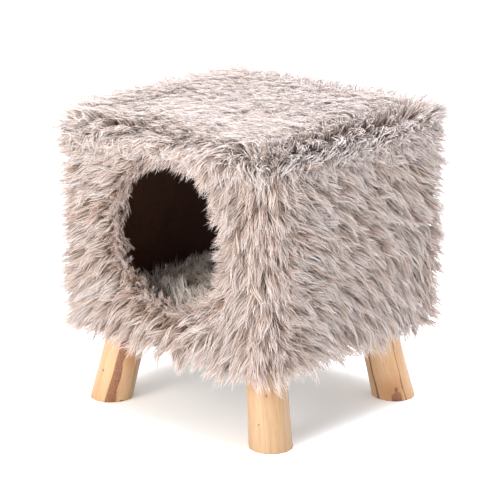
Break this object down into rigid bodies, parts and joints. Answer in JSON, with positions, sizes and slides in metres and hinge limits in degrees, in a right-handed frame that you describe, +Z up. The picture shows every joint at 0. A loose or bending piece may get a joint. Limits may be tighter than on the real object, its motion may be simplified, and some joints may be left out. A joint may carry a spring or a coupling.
{
  "type": "plush cat cabin",
  "caption": "Box-shaped pet cabin covered in long shaggy plush, with a round entrance in its front, a loose plush cushion inside and splayed round wooden legs.",
  "frame": {"origin": "on the floor, under the middle of the object", "axes": "+Z up, -Y out of the entrance, +X to the right of someone who faces the entrance"},
  "size_m": [0.3486, 0.3346, 0.3883],
  "materials": {
    "plush": "long-pile faux fur, pale pinkish beige tips over taupe-brown roots",
    "lining": "dark brown brushed polyester cloth",
    "undercloth": "black spun-bonded non-woven cloth",
    "filling": "white polyester wadding",
    "board": "raw medium-density fibreboard",
    "log": "peeled softwood log, sanded and clear sealed",
    "steel": "bright zinc plated"
  },
  "bodies": {
    "house": {"floor_board": "board", "left_board": "board", "right_board": "board", "front_board": "board", "back_board": "board", "roof_board": "board", "corner_block_front_left": "board", "corner_block_front_right": "board", "corner_block_back_left": "board", "corner_block_back_right": "board", "plush_front": "plush", "plush_back": "plush", "plush_left": "plush", "plush_right": "plush", "plush_roof": "plush", "lining_left": "lining", "lining_right": "lining", "lining_back": "lining", "lining_front": "lining", "lining_ceiling": "lining", "entrance_binding": "lining", "dust_cover": "undercloth", "leg_front_left": "log", "leg_front_right": "log", "leg_back_left": "log", "leg_back_right": "log", "leg_plate_front_left": "steel", "leg_plate_front_right": "steel", "leg_plate_back_left": "steel", "leg_plate_back_right": "steel", "leg_bolt_front_left": "steel", "leg_bolt_front_right": "steel", "leg_bolt_back_left": "steel", "leg_bolt_back_right": "steel", "plate_screw_front_left_1": "steel", "plate_screw_front_left_2": "steel", "plate_screw_front_left_3": "steel", "plate_screw_front_left_4": "steel", "plate_screw_front_right_1": "steel", "plate_screw_front_right_2": "steel", "plate_screw_front_right_3": "steel", "plate_screw_front_right_4": "steel", "plate_screw_back_left_1": "steel", "plate_screw_back_left_2": "steel", "plate_screw_back_left_3": "steel", "plate_screw_back_left_4": "steel", "plate_screw_back_right_1": "steel", "plate_screw_back_right_2": "steel", "plate_screw_back_right_3": "steel", "plate_screw_back_right_4": "steel"},
    "cushion": {"cushion_base_cover": "undercloth", "cushion_filling": "filling", "cushion_top_cover": "plush"}
  },
  "joints": [
    {"name": "cushion_lift", "type": "slide", "parent": "house", "child": "cushion", "axis": [0, 0, 1], "range_m": [0, 0.09]}
  ]
}
